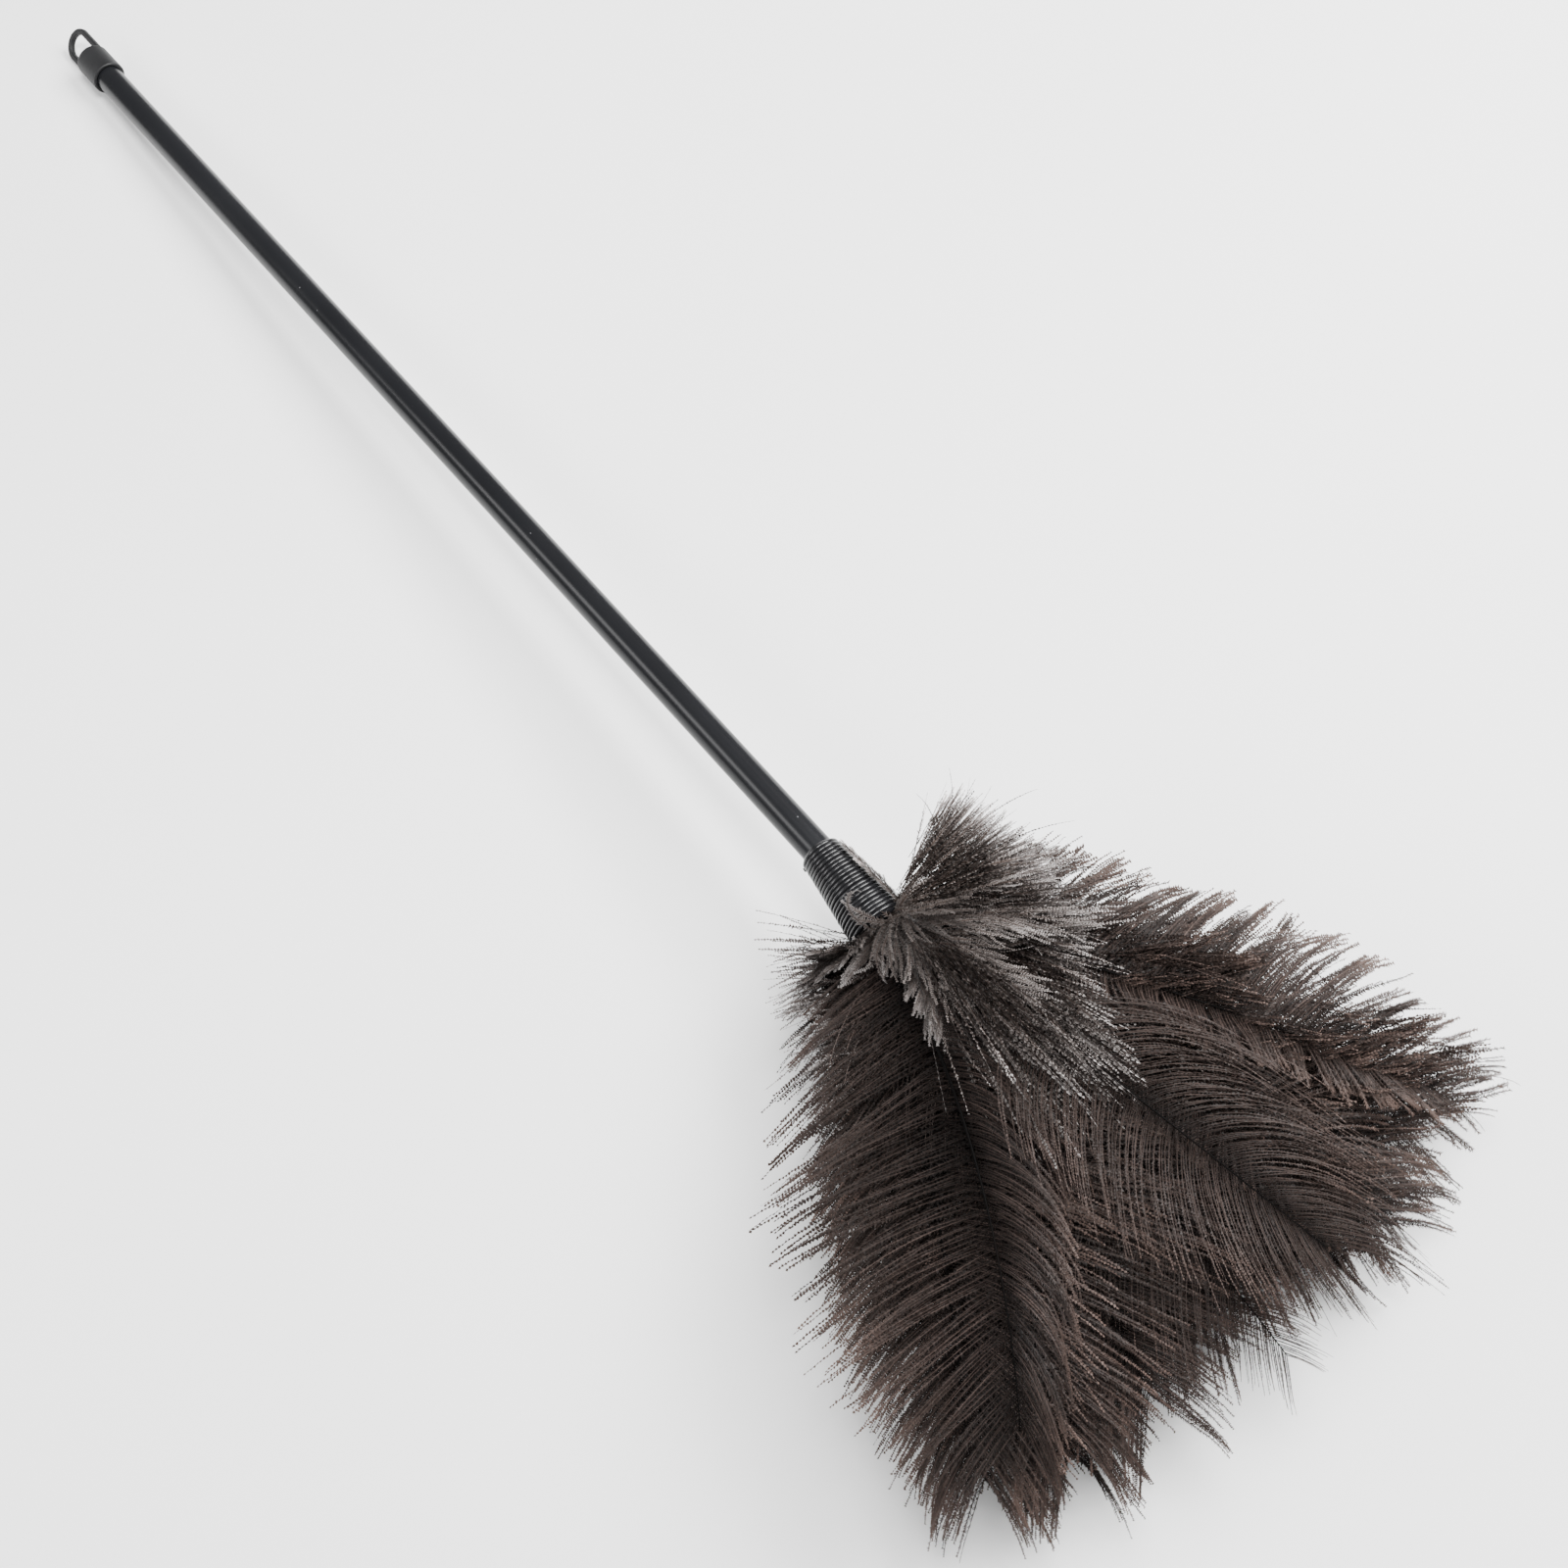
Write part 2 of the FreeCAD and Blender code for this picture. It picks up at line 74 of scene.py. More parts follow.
# Lengths of the collar plumes in millimetres, from the one on the +Y side and round over the top.
COLLAR_LENGTHS = (44.0, 48.0, 58.0, 82.0, 108.0, 30.0, 32.0, 32.0,
                  30.0, 32.0, 38.0, 50.0, 56.0, 56.0, 54.0, 46.0)
COLLAR_FULL_WIDTH_FROM = 60.0    # length in millimetres
# Degrees: heading of the plumes at the sides, lean of the whole collar, turn along a side plume.
COLLAR_HEADING = 68.0
COLLAR_LEAN = -14.0
COLLAR_HEADING_BEND = 42.0
COLLAR_FLATTENING = 0.4          # tilt of the collar's vanes, as a part of a round collar's
BUNDLE_RADIUS = 0.0083
RACHIS_STEPS = 50
RACHIS_SIDES = 8
SHAFT_RINGS = 9
POINTS_PER_TURN = 44
UP = np.array([0.0, 0.0, 1.0])
# Least heights above the surface of the barbs' lines and of their barbules.
BARB_GAP = 0.0009
BARBULE_GAP = 0.0005
SETTLING_DEPTH = 6
LEAST_SHARE = 0.25

handle_direction = np.array([math.cos(HANDLE_RISE), 0.0, math.sin(HANDLE_RISE)])
head_direction = np.array([
    math.cos(HANDLE_RISE) * math.cos(HEAD_LEAN),
    -math.sin(HEAD_LEAN),
    math.sin(HANDLE_RISE),
])
head_direction /= np.linalg.norm(head_direction)
tube_near, tube_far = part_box("handle_tube")
binding_length = BINDING_TURNS * 2 * WIRE_RADIUS * math.cos(BINDING_TAPER)
tube_end = np.array([tube_far.x - TUBE_RADIUS * math.sin(HANDLE_RISE), (tube_near.y + tube_far.y) / 2,
                     tube_far.z - TUBE_RADIUS * math.cos(HANDLE_RISE)])
binding_start = tube_end - handle_direction * TUBE_UNDER_BINDING
binding_end = binding_start + head_direction * binding_length


# Small vector helpers on arrays of points.
def unit(v):
    return v / np.maximum(np.linalg.norm(v, axis=-1, keepdims=True), 1e-9)


def smooth(x):
    x = np.clip(x, 0.0, 1.0)
    return x * x * (3 - 2 * x)


def above_surface(points, gap):
    """Keeps points above the surface: heights below the gap settle gently onto it."""
    height = points[..., 2]
    settled = gap * np.exp(np.minimum((height - gap) / (SETTLING_DEPTH * gap), 0.0))
    points[..., 2] = np.where(height < gap, np.maximum(settled, gap * LEAST_SHARE), height)
    return points


# Mesh building.
def build_mesh(name, vertices, faces, material, barb=None, plan=None, smooth_faces=None):
    """A mesh object from arrays. faces holds triangles; barb is one colour per vertex, and
    plan is one UV per vertex."""
    mesh = bpy.data.meshes.new(name)
    mesh.vertices.add(len(vertices))
    mesh.vertices.foreach_set("co", np.asarray(vertices, np.float32).ravel())
    mesh.loops.add(faces.size)
    mesh.loops.foreach_set("vertex_index", np.asarray(faces, np.int32).ravel())
    mesh.polygons.add(len(faces))
    mesh.polygons.foreach_set("loop_start", np.arange(0, faces.size, 3, dtype=np.int32))
    if smooth_faces is not None:
        mesh.polygons.foreach_set("use_smooth", smooth_faces)
    mesh.update(calc_edges=True)
    if barb is not None:
        layer = mesh.attributes.new("barb", "FLOAT_COLOR", "POINT")
        layer.data.foreach_set("color", np.asarray(barb, np.float32).ravel())
    if plan is not None:
        layer = mesh.uv_layers.new(name="OFBake")
        layer.data.foreach_set("uv", np.asarray(plan, np.float32)[faces.ravel()].ravel())
    mesh.materials.append(material)
    piece = bpy.data.objects.new(name, mesh)
    bpy.context.scene.collection.objects.link(piece)
    return piece


def tube_arrays(path, radii, sides):
    """Vertices and triangles of a closed tube along a path, with a radius at each point."""
    path = np.asarray(path, float)
    tangents = unit(np.gradient(path, axis=0))
    side = np.array([0.0, 0.0, 1.0])
    if abs(tangents[0] @ side) > 0.9:
        side = np.array([0.0, 1.0, 0.0])
    first = []
    for tangent in tangents:
        side = side - tangent * (side @ tangent)
        side = side / np.linalg.norm(side)
        first.append(side)
    first = np.array(first)
    second = np.cross(tangents, first)
    angle = np.linspace(0, 2 * math.pi, sides, endpoint=False)[None, :, None]
    ring = first[:, None] * np.cos(angle) + second[:, None] * np.sin(angle)
    vertices = (path[:, None] + ring * np.asarray(radii)[:, None, None]).reshape(-1, 3)

    ids = np.arange(sides)
    following = (ids + 1) % sides
    rows = np.arange(len(path) - 1)[:, None] * sides
    a, b = (rows + ids).ravel(), (rows + following).ravel()
    last = (len(path) - 1) * sides
    start_centre, end_centre = len(vertices), len(vertices) + 1
    faces = [
        np.stack([a, b, b + sides], 1),
        np.stack([a, b + sides, a + sides], 1),
        np.stack([np.full(sides, start_centre), following, ids], 1),
        np.stack([np.full(sides, end_centre), last + ids, last + following], 1),
    ]
    return np.vstack([vertices, path[:1], path[-1:]]), np.vstack(faces)


# Rachis lines, as the CAD part has them.
def rachis_line(root, length, headings, slopes):
    """Points and tangents of a curved rachis that settles on the surface."""
    point = np.array(root, float)
    points = []
    tangents = []
    for step in range(RACHIS_STEPS + 1):
        fraction = step / RACHIS_STEPS
        heading = math.radians(headings[0] + (headings[1] - headings[0]) * fraction)
        slope = math.radians(slopes[0] + (slopes[1] - slopes[0]) * fraction)
        if point[2] <= SURFACE_GAP:
            slope = max(slope, 0.0)
        direction = np.array([
            math.cos(slope) * math.cos(heading), math.cos(slope) * math.sin(heading), math.sin(slope)
        ])
        points.append(point.copy())
        tangents.append(direction)
        point = point + direction * (length / RACHIS_STEPS)
        point[2] = max(point[2], SURFACE_GAP)
    return np.array(points), np.array(tangents)


def quill_grip(root):
    """Length of quill inside the tapering binding."""
    offset = np.linalg.norm(np.cross(root - binding_end, head_direction)) + QUILL_RADIUS
    room = (offset - TUBE_RADIUS) / math.tan(BINDING_TAPER)
    return max(binding_length - max(room, TUBE_UNDER_BINDING), SHORTEST_GRIP)


# Feathers. Lengths are in metres and angles in degrees. Where there are three values, they are
# for the rachis's root, middle and tip.
BROWN = {
    "spacing": 0.00125,          # between barbs along the rachis
    "first_barb": 0.06,          # fraction of the rachis with no barbs
    "rachis_end": 0.92,          # fraction of the line where the rachis ends
    "teeth": 52,                 # barbules along each side of a barb
    "barbule": 0.0017,           # length
    "barbule_angle": 34.0,
    "barbule_droop": 14.0,
    "tip_fullness": 0.55,        # length of the last barbules as a part of the longest
    "start_angle": (84.0, 76.0, 34.0),    # between a barb's start and the rachis
    "end_angle": (72.0, 50.0, 10.0),      # between a barb's end and the rachis
    "length": (0.50, 1.22, 0.66),         # of a barb, as a part of the half width
    "droop": 0.36,               # how much a barb's end turns down
    "lift": 0.10,                # how much a barb's start turns up
    "clump": 0.62,               # how far barbs gather into tufts
    "clump_size": (4, 10),       # barbs in a tuft
    "wave": 6.0,
    "shaft": 0.00014,            # radius of a barb's shaft
    "length_jitter": 0.10,
    "angle_jitter": 3.0,
    "tone": 1.0,
    "mottle": 0.18,              # spread of tone between barbs
    "rachis_shade": 0.0,         # 0 as dark as the barbs' roots, 1 as pale as their tips
}
GREY = dict(
    BROWN,
    spacing=0.0007,
    first_barb=0.02,
    rachis_end=0.60,
    teeth=46,
    barbule_angle=42.0,
    barbule_droop=6.0,
    tip_fullness=0.42,
    start_angle=(62.0, 48.0, 26.0),
    end_angle=(42.0, 30.0, 12.0),
    length=(1.1, 1.45, 1.0),
    droop=0.10,
    lift=0.16,
    clump=0.0,
    wave=8.0,
    length_jitter=0.12,
    angle_jitter=8.0,
    mottle=0.26,
)
# Waves in the flow of a feather's barbs: size, half turns along the rachis, and radians from a
# barb's root to its tip.
SHARED_WAVES = ((1.0, 5, 2.5), (0.7, 11, -3.5), (0.5, 23, 5.0))
BROKEN_SHARE = 0.08     # part of the barbs that are broken,
BROKEN_OFF = 0.35       # and the part of their length that is missing
TIGHTEST_TUFT = 0.92
OWN_RIPPLE = 0.08
SHARED_RIPPLE = 0.10
TONE_RANGE = (0.3, 1.9)


def along_rachis(values, t):
    """Root, middle and tip values blended over the rachis."""
    root, middle, tip = values
    rising = root + (middle - root) * smooth(t / 0.35)
    return rising + (tip - middle) * smooth((t - 0.55) / 0.45)


def barb_directions(t, u, frame_axes, style, rng):
    """Directions of the barbs, as an array of barb, step and axis. They swing from the start
    angle to the end angle, with waves that neighbouring barbs share and a wave of their own."""
    tangent, outward, normal = frame_axes
    jitter = style["angle_jitter"]
    start = np.radians(along_rachis(style["start_angle"], t) + rng.normal(0, jitter, len(t)))
    end = np.radians(along_rachis(style["end_angle"], t) + rng.normal(0, jitter, len(t)))
    phases = rng.uniform(0, 2 * math.pi, 4)
    wave = sum(
        size * np.sin(turns * math.pi * t[:, None] + skew * u[None] + phase)
        for (size, turns, skew), phase in zip(SHARED_WAVES, phases)
    )
    angle = start[:, None] + (end - start)[:, None] * u[None] ** 0.8
    angle = angle + math.radians(style["wave"]) * wave * u[None] ** 0.7

    own_wave = rng.uniform(0, 2 * math.pi, (len(t), 1))
    angle = angle + math.radians(jitter) * np.sin(7 * u[None] + own_wave) * u[None]
    ripple = OWN_RIPPLE * np.sin(3 * u[None] * math.pi + own_wave) * u[None]
    lift = style["lift"] * (1 - u[None]) + ripple
    lift = lift + SHARED_RIPPLE * np.sin(9 * math.pi * t[:, None] + phases[3]) * u[None]
    direction = (
        np.cos(angle)[..., None] * tangent[:, None]
        + np.sin(angle)[..., None] * outward[:, None]
        + lift[..., None] * normal[:, None]
    )
    direction[..., 2] -= style["droop"] * u[None] ** 1.5
    return unit(direction)


def gather_into_tufts(path, u, style, rng):
    """Draws neighbouring barbs together towards their tips. Gives the new paths and the number
    of the tuft that each barb belongs to."""
    count = len(path)
    low, high = style["clump_size"]
    edges = np.cumsum(rng.integers(low, high + 1, count))
    group = np.searchsorted(edges, np.arange(count), side="right")
    centres = np.zeros((group.max() + 1,) + path.shape[1:])
    np.add.at(centres, group, path)
    centres /= np.maximum(np.bincount(group), 1)[:, None, None]
    hold = style["clump"] * rng.uniform(0.3, 1.0, group.max() + 1)[group]
    hold = hold * (1 + rng.normal(0, 0.1, count))
    weight = (np.clip(hold, 0, TIGHTEST_TUFT)[:, None] * smooth(u[None] / 0.9))[..., None]
    return path + (centres[group] - path) * weight, group


def barb_paths(points, tangents, across, facing, half_width, style, side, rng):
    """Paths of the barbs on one side of a feather, as an array of barb, step and axis, with
    each barb's place along the rachis, its tone and the vane's normal there."""
    length = np.linalg.norm(np.diff(points, axis=0), axis=1).sum()
    first, last = style["first_barb"], style["rachis_end"]
    count = max(int(length * (last - first) / style["spacing"]), 4)
    t = first + (last - first) * (np.arange(count) + rng.uniform(-0.3, 0.3, count)) / (count - 1)
    t = np.clip(t, first, last)
    steps = style["teeth"]
    u = np.linspace(0, 1, steps + 1)

    def at(values):
        place = t * RACHIS_STEPS
        low = np.minimum(place.astype(int), RACHIS_STEPS - 1)
        share = (place - low)[:, None]
        return values[low] * (1 - share) + values[low + 1] * share

    origin, tangent = at(points), unit(at(tangents))
    outward, normal = unit(at(across)) * side, unit(at(facing))
    direction = barb_directions(t, u, (tangent, outward, normal), style, rng)
    reach = along_rachis(style["length"], t) * half_width
    reach = reach * (1 + rng.normal(0, style["length_jitter"], count))
    reach = reach * (1 - BROKEN_OFF * (rng.uniform(size=count) < BROKEN_SHARE))
    step = direction[:, :-1] * (reach / steps)[:, None, None]
    path = np.concatenate([np.zeros((count, 1, 3)), np.cumsum(step, axis=1)], axis=1)
    path, group = gather_into_tufts(path + origin[:, None], u, style, rng)

    tuft_tone = rng.normal(0, style["mottle"], group.max() + 1)[group]
    tone = np.clip(rng.normal(1.0, style["mottle"], count) * (1 + tuft_tone), *TONE_RANGE)
    return above_surface(path, BARB_GAP), t, tone, normal


def barbule_tips(path, tangent, wide, deep, style, rng):
    """Tips of the barbules on both sides of the barbs' lines, one for each step."""
    count, points_each, _ = path.shape
    shape = (count, points_each - 1)
    u = np.linspace(0, 1, points_each)
    near_end = (1 - style["tip_fullness"]) * smooth((u - 0.5) / 0.5)
    fullness = (0.45 + 0.55 * smooth(u / 0.15)) * (1 - near_end)
    tips = []
    for sign in (1, -1):
        size = style["barbule"] * fullness[None, :-1] * rng.uniform(0.65, 1.25, shape)
        lean = np.radians(style["barbule_angle"] + rng.normal(0, 8, shape))
        droop = np.radians(style["barbule_droop"] + rng.normal(0, 16, shape))
        sideways = wide[:, :-1] * (sign * np.cos(droop))[..., None]
        sideways = sideways - deep[:, :-1] * np.sin(droop)[..., None]
        reach = np.cos(lean)[..., None] * tangent[:, :-1] + np.sin(lean)[..., None] * sideways
        tips.append(above_surface(path[:, :-1] + reach * size[..., None], BARBULE_GAP))
    return tips


def shaft_faces(shaft_ids):
    """Triangles of three-sided shafts, from vertex numbers by barb, step and corner."""
    faces = []
    for k in range(3):
        a, b = shaft_ids[:, :-1, k], shaft_ids[:, :-1, (k + 1) % 3]
        c, d = shaft_ids[:, 1:, (k + 1) % 3], shaft_ids[:, 1:, k]
        faces.append(np.stack([a, b, c], -1).reshape(-1, 3))
        faces.append(np.stack([a, c, d], -1).reshape(-1, 3))
    return faces


def over(values, shape):
    """One value for each barb, spread over the barb's vertices."""
    return np.broadcast_to(values.reshape((-1,) + (1,) * (len(shape) - 1)), shape)


def shaft_rings(path, wide, deep, every, radius):
    """Three corners round the barbs' lines at chosen steps."""
    turn = np.array([0.0, 2.094, 4.189])
    ring = (
        wide[:, every, None] * np.cos(turn)[None, None, :, None]
        + deep[:, every, None] * np.sin(turn)[None, None, :, None]
    )
    return path[:, every, None] + ring * radius[None, :, None, None]


def barb_colours(t, tone, u, every):
    """Red is the place along the barb, green half its tone, blue the place out on a barbule,
    and alpha the place along the rachis."""
    def colours(place, fringe, shape):
        channels = [np.broadcast_to(place, shape), over(tone, shape) * 0.5,
                    np.full(shape, fringe), over(t, shape)]
        return np.stack(channels, -1).reshape(-1, 4)

    count, steps = len(t), len(u) - 1
    teeth = colours(u[None, :-1], 1.0, (count, steps))
    rings = colours(u[every][None, :, None], 0.0, (count, SHAFT_RINGS, 3))
    return [colours(u[None], 0.0, (count, steps + 1)), teeth, teeth, rings]


def barb_plans(count, u, every, side):
    """UVs: each barb has its own strip of the square, on its side's half."""
    row = (np.arange(count) + 0.5) / count
    start, span = (0.53, 0.46) if side > 0 else (0.47, -0.46)

    def plan(place, rise, shape):
        v = over(row, shape) + rise / count
        return np.stack([np.broadcast_to(start + span * place, shape), v], -1).reshape(-1, 2)

    teeth = (count, len(u) - 1)
    ring_rise = np.array([-0.05, 0.0, 0.05])[None, None]
    return [
        plan(u[None], 0.0, (count, len(u))),
        plan(u[None, :-1], 0.42, teeth),
        plan(u[None, :-1], -0.42, teeth),
        plan(u[every][None, :, None], ring_rise, (count, SHAFT_RINGS, 3)),
    ]


def barb_arrays(path, t, tone, normal, style, side, rng):
    """Vertices, triangles, colours and UVs of the barbs, and the number of triangles that
    belong to barbules. A barb is a thin shaft with barbules as teeth on both sides."""
    count, points_each, _ = path.shape
    steps = points_each - 1
    u = np.linspace(0, 1, points_each)
    tangent = unit(np.gradient(path, axis=1))
    twist = 40 * np.sin(4 * u[None] + 6.28 * tone[:, None]) * u[None]
    roll = np.radians(rng.normal(0, 22, (count, 1)) + twist)
    flat = unit(np.cross(tangent, normal[:, None]))
    deep = np.cross(flat, tangent)
    wide = flat * np.cos(roll)[..., None] + deep * np.sin(roll)[..., None]
    deep = np.cross(wide, tangent)

    tips = barbule_tips(path, tangent, wide, deep, style, rng)
    every = np.linspace(0, steps, SHAFT_RINGS).round().astype(int)
    shaft = shaft_rings(path, wide, deep, every, style["shaft"] * (1 - 0.7 * u[every]))
    vertices = [part.reshape(-1, 3) for part in (path, tips[0], tips[1], shaft)]

    line_ids = np.arange(count * points_each).reshape(count, points_each)
    tip_ids = count * points_each + np.arange(2 * count * steps).reshape(2, count, steps)
    shaft_ids = np.arange(count * SHAFT_RINGS * 3).reshape(count, SHAFT_RINGS, 3)
    faces = [
        np.stack([line_ids[:, :-1], line_ids[:, 1:], tip_ids[0]], -1).reshape(-1, 3),
        np.stack([line_ids[:, 1:], line_ids[:, :-1], tip_ids[1]], -1).reshape(-1, 3),
    ]
    faces += shaft_faces(shaft_ids + count * (points_each + 2 * steps))
    barbule_faces = 2 * count * steps
    return vertices, faces, barb_colours(t, tone, u, every), barb_plans(count, u, every, side), barbule_faces


def rachis_arrays(points, style, grip, quill):
    """Vertices, triangles, colours and UVs of a rachis with its quill in the binding."""
    last = int(round(style["rachis_end"] * RACHIS_STEPS))
    centre = points[:last + 1]
    if grip:
        buried = [points[0] - head_direction * grip * share for share in (1.0, 0.66, 0.33)]
        centre = np.vstack([buried, centre])
    place = np.linspace(0, 1, len(centre))
    radii = quill * (1 - 0.82 * place ** 0.8)
    vertices, faces = tube_arrays(centre, radii, RACHIS_SIDES)
    along = np.append(np.repeat(place, RACHIS_SIDES), [0.0, 1.0])
    around = np.append(np.tile(np.arange(RACHIS_SIDES) / RACHIS_SIDES, len(place)), [0.5, 0.5])
    count = len(vertices)
    colour = np.stack([np.full(count, style["rachis_shade"]), np.full(count, 0.42),
                       np.zeros(count), along], -1)
    plan = np.stack([0.485 + 0.03 * around, 0.01 + 0.98 * along], -1)
    return vertices, faces, colour, plan


def feather(name, line, face, half_width, style, material, seed, grip=0.0, quill=QUILL_RADIUS):
    """One feather: a tapered rachis with its quill, and barbs with barbules on both sides."""
    rng = np.random.default_rng(seed)
    points, tangents = line
    sideways = np.array([0.0, math.sin(face), -math.cos(face)])
    across = unit(sideways[None] - tangents * (tangents @ sideways)[:, None])
    facing = np.cross(tangents, across)
    vertices, faces, colours, plans, rounded = [], [], [], [], []
    offset = 0
    for side, key in ((1, "plus"), (-1, "minus")):
        own = dict(style, **style.get(key, {}))
        path, t, tone, normal = barb_paths(points, tangents, across, facing, half_width, own, side, rng)
        tone = tone * own["tone"]
        some_v, some_f, some_c, some_p, barbule_faces = barb_arrays(
            path, t, tone, normal, own, side, rng)
        block = np.vstack(some_f)
        vertices += some_v
        faces.append(block + offset)
        colours += some_c
        plans += some_p
        rounded.append(np.arange(len(block)) >= barbule_faces)
        offset += sum(len(v) for v in some_v)
    some_v, some_f, some_c, some_p = rachis_arrays(points, style, grip, quill)
    vertices.append(some_v)
    faces.append(some_f + offset)
    colours.append(some_c)
    plans.append(some_p)
    rounded.append(np.ones(len(some_f), bool))
    return build_mesh(name, np.vstack(vertices), np.vstack(faces), material,
                      np.vstack(colours), np.vstack(plans), np.concatenate(rounded))


# Materials.
class Nodes:
    """A material's node tree, with short calls to add and link nodes."""

    def __init__(self, name):
        self.material = bpy.data.materials.new(name)
        self.material.use_nodes = True
        self.tree = self.material.node_tree
        self.shader = self.tree.nodes["Principled BSDF"]

    def add(self, kind, inputs=None, **settings):
        node = self.tree.nodes.new(kind)
        for key, value in settings.items():
            setattr(node, key, value)
        for key, value in (inputs or {}).items():
            self.put(node.inputs[key], value)
        return node

    def put(self, socket, value):
        if isinstance(value, bpy.types.NodeSocket):
            self.tree.links.new(value, socket)
        else:
            socket.default_value = value

    def shade(self, **values):
        for key, value in values.items():
            self.put(self.shader.inputs[key.replace("_", " ")], value)

    def noise(self, scale, detail=3.0, roughness=0.5, vector=None):
        node = self.add("ShaderNodeTexNoise", {"Scale": scale, "Detail": detail, "Roughness": roughness})
        self.put(node.inputs["Vector"], vector or self.place())
        return node.outputs["Fac"]

    def place(self):
        return self.add("ShaderNodeTexCoord").outputs["Object"]

    def ramp(self, value, stops):
        node = self.add("ShaderNodeValToRGB", {"Fac": value})
        elements = node.color_ramp.elements
        while len(elements) < len(stops):
            elements.new(0.5)
        for element, (position, colour) in zip(elements, stops):
            element.position = position
            element.color = (*colour, 1.0)
        return node.outputs["Color"]

    def maths(self, operation, a, b=0.0):
        node = self.add("ShaderNodeMath", operation=operation)
        self.put(node.inputs[0], a)
        self.put(node.inputs[1], b)
        return node.outputs[0]

    def spread(self, value, low, high, out_low, out_high):
        node = self.add("ShaderNodeMapRange", {
            "Value": value, "From Min": low, "From Max": high, "To Min": out_low, "To Max": out_high,
        })
        return node.outputs["Result"]

    def mix(self, factor, a, b):
        node = self.add("ShaderNodeMix", data_type="RGBA")
        self.put(node.inputs[0], factor)
        for socket, value in ((node.inputs[6], a), (node.inputs[7], b)):
            self.put(socket, (*value, 1.0) if isinstance(value, tuple) else value)
        return node.outputs[2]

    def bump(self, height, strength, distance):
        node = self.add("ShaderNodeBump", {"Height": height, "Strength": strength, "Distance": distance})
        self.put(self.shader.inputs["Normal"], node.outputs["Normal"])


def plume_material(name, stops, fringe, shaft, fringe_amount, shine, root_reach):
    """Barbs that run through colour stops from rachis to tip, with paler barbule ends and a shaft colour
    along each barb's line past its root: on brown_plume that shaft colour is a pale painted highlight for the
    glint along the barbs, and on grey_down it is the shafts' own dark colour.
    """
    nodes = Nodes(name)
    barb = nodes.add("ShaderNodeAttribute", attribute_name="barb")
    parts = nodes.add("ShaderNodeSeparateColor", {"Color": barb.outputs["Color"]})
    along, tone, out = (parts.outputs[key] for key in ("Red", "Green", "Blue"))
    outer = nodes.spread(barb.outputs["Alpha"], 0.05, 0.5, root_reach, 1.0)
    along = nodes.maths("MULTIPLY", along, outer)
    broad = nodes.noise(28.0, 3.0)
    fine = nodes.noise(420.0, 2.0)
    shifted = nodes.maths("ADD", along, nodes.spread(broad, 0.3, 0.7, -0.14, 0.14))
    base = nodes.ramp(shifted, stops)
    paler = nodes.spread(along, 0.3, 0.9, 0.2 * fringe_amount, fringe_amount)
    fringed = nodes.mix(nodes.maths("MULTIPLY", out, paler), base, fringe)
    # Shaft colour along the barbs' lines: a painted highlight (a pale glint line) on brown_plume, the real
    # dark shaft colour on grey_down.
    on_shaft = nodes.spread(out, 0.0, 0.3, 0.85, 0.0)
    past_root = nodes.spread(along, 0.0, 0.3, 0.0, 1.0)
    lined = nodes.mix(nodes.maths("MULTIPLY", on_shaft, past_root), fringed, shaft)
    doubled = nodes.maths("MULTIPLY", tone, 2.0)
    brightness = nodes.maths("MULTIPLY", doubled, nodes.spread(fine, 0.2, 0.8, 0.75, 1.25))
    toned = nodes.add("ShaderNodeHueSaturation", {"Value": brightness, "Color": lined})
    nodes.shade(
        Base_Color=toned.outputs["Color"],
        Roughness=nodes.spread(fine, 0.2, 0.8, 0.45, 0.62),
        Specular_IOR_Level=nodes.spread(along, 0.0, 0.6, 0.03, shine),
    )
    nodes.bump(fine, 0.25, 0.0002)
    return nodes.material


brown_plume = plume_material(
    "brown_plume",
    [(0.0, (0.0020, 0.0017, 0.0016)), (0.25, (0.0042, 0.0030, 0.0026)),
     (0.7, (0.0150, 0.0098, 0.0081)), (1.0, (0.074, 0.0490, 0.0405))],
    # Fringe, then shaft colour: the pale shaft colour is a painted highlight that stands in for the glint
    # along the barbs.
    (0.14, 0.100, 0.086), (0.046, 0.032, 0.0275), 0.14, 0.17, 0.85,
)
grey_down = plume_material(
    "grey_down",
    [(0.0, (0.008, 0.006, 0.005)), (0.4, (0.028, 0.0205, 0.0175)),
     (0.75, (0.080, 0.066, 0.060)), (1.0, (0.25, 0.232, 0.225))],
    (0.46, 0.43, 0.42), (0.017, 0.0105, 0.008), 0.5, 0.2, 0.45,
)


def black_paint():
    nodes = Nodes("black_paint")
    cloud = nodes.spread(nodes.noise(9.0, 4.0), 0.3, 0.7, 0.0, 1.0)
    grain = nodes.noise(2600.0, 2.0)
    cells = nodes.add("ShaderNodeTexVoronoi", {"Vector": nodes.place(), "Scale": 260.0, "Randomness": 1.0})
    specks = nodes.spread(cells.outputs["Distance"], 0.05, 0.09, 1.0, 0.0)
    chosen = nodes.maths("GREATER_THAN", nodes.noise(75.0, 0.0), 0.68)
    dust = nodes.maths("MULTIPLY", specks, chosen)
    paint = nodes.mix(cloud, (0.005, 0.0052, 0.006), (0.008, 0.0083, 0.0096))
    roughness = nodes.spread(cloud, 0.0, 1.0, 0.22, 0.28)
    nodes.shade(
        Base_Color=nodes.mix(nodes.maths("MULTIPLY", dust, 0.5), paint, (0.22, 0.22, 0.23)),
        Roughness=nodes.maths("ADD", roughness, nodes.maths("MULTIPLY", dust, 0.3)),
        Specular_IOR_Level=0.22,
    )
    nodes.bump(grain, 0.12, 0.0001)
    return nodes.material


